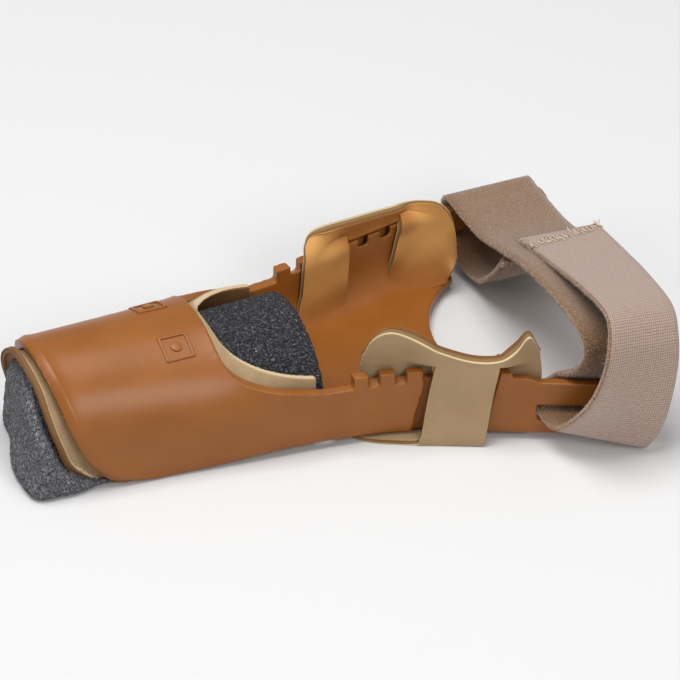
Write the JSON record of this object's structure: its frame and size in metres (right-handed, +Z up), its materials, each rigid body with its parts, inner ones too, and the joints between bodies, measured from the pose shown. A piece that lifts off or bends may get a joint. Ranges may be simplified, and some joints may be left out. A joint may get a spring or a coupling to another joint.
{
  "type": "bunion splint",
  "caption": "Bunion splint lying on its side: moulded toe hood with a foam plug, open cradle with toothed rails, soft side pads on a sling and a hook-and-loop foot strap.",
  "frame": {"origin": "under the middle of the whole splint, on the surface that it lies on", "axes": "+X from the toe hood to the strap, +Y from the near rail to the far rail, +Z up from the surface"},
  "size_m": [0.1438, 0.094, 0.0393],
  "materials": {
    "shell_plastic": "caramel brown moulded plastic, satin gloss",
    "liner_sheet": "thin cream skin-soft sheet with a plain cut edge",
    "foam": "charcoal open-cell foam",
    "pad_sheet": "smooth beige soft sheet, lighter cut edge",
    "strap_tape": "skin-toned hook-and-loop tape, pile one side and weave the other"
  },
  "bodies": {
    "root": {"shell": "shell_plastic", "toe_liner": "liner_sheet", "toe_foam": "foam", "pad_sling": "pad_sheet", "foot_strap": "strap_tape"}
  },
  "joints": []
}
